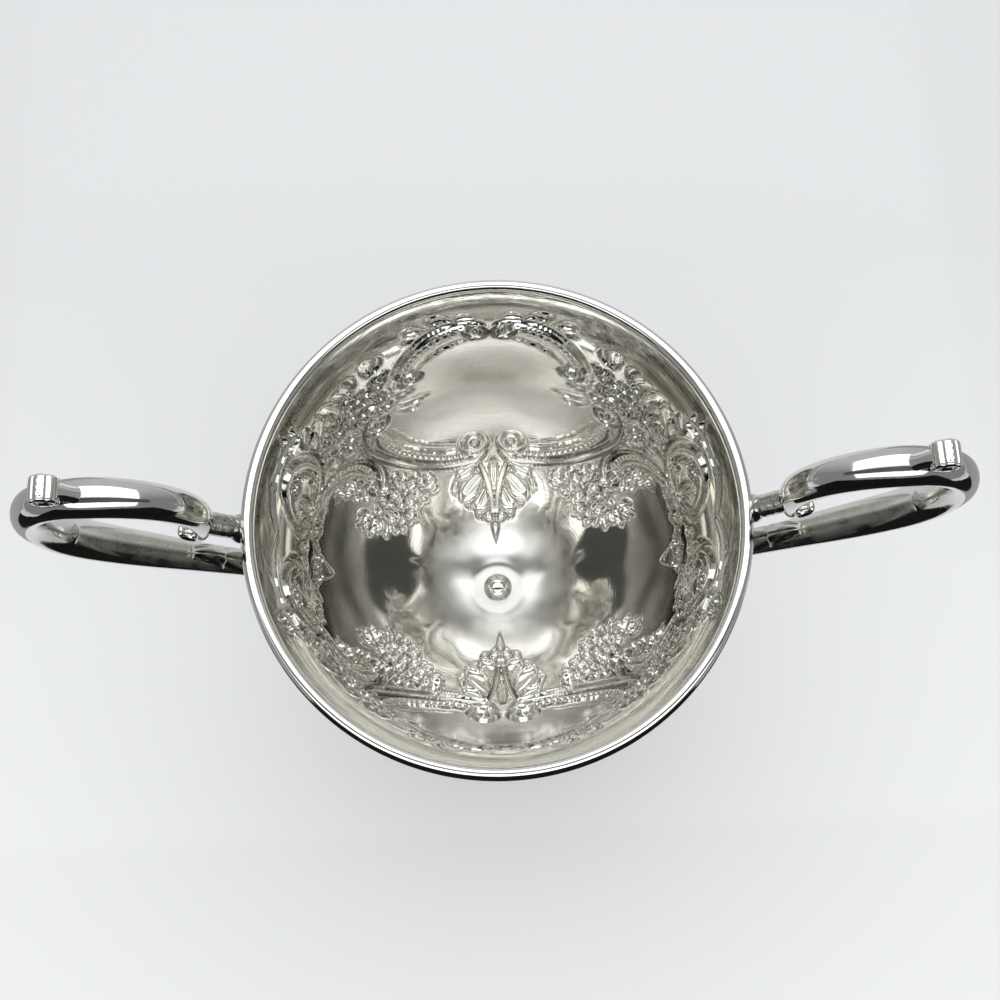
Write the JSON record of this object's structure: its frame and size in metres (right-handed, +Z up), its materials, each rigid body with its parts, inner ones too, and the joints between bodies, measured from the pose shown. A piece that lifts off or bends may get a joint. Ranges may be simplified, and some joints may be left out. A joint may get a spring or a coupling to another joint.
{
  "type": "trophy cup",
  "caption": "Two-handled silver trophy cup with a chased bell-shaped bowl, scroll handles and a domed pedestal foot.",
  "frame": {"origin": "middle of the circle that the foot stands on", "axes": "+Z up along the cup's axis, handles along X, the chased panels face +Y and -Y"},
  "size_m": [0.23, 0.13, 0.2048],
  "materials": {
    "polished_silver": "polished sterling silver",
    "chased_silver": "chased sterling silver, polished on the high parts and grey with age in the hollows",
    "cast_silver": "cast sterling silver, grey with age in the hollows",
    "brass": "dull turned brass"
  },
  "bodies": {
    "root": {"bowl": "chased_silver", "lip_wire": "polished_silver", "bowl_seat": "polished_silver", "stem_knop": "polished_silver", "foot": "chased_silver", "foot_wire": "polished_silver", "centre_stud": "polished_silver", "stud_washer": "brass", "stud_nut": "brass", "upper_scroll_right": "polished_silver", "lower_scroll_right": "polished_silver", "thumb_scroll_right": "polished_silver", "handle_strut_right": "cast_silver", "leaf_mount_right": "cast_silver", "wall_plate_right": "polished_silver", "upper_scroll_left": "polished_silver", "lower_scroll_left": "polished_silver", "thumb_scroll_left": "polished_silver", "handle_strut_left": "cast_silver", "leaf_mount_left": "cast_silver", "wall_plate_left": "polished_silver"}
  },
  "joints": []
}
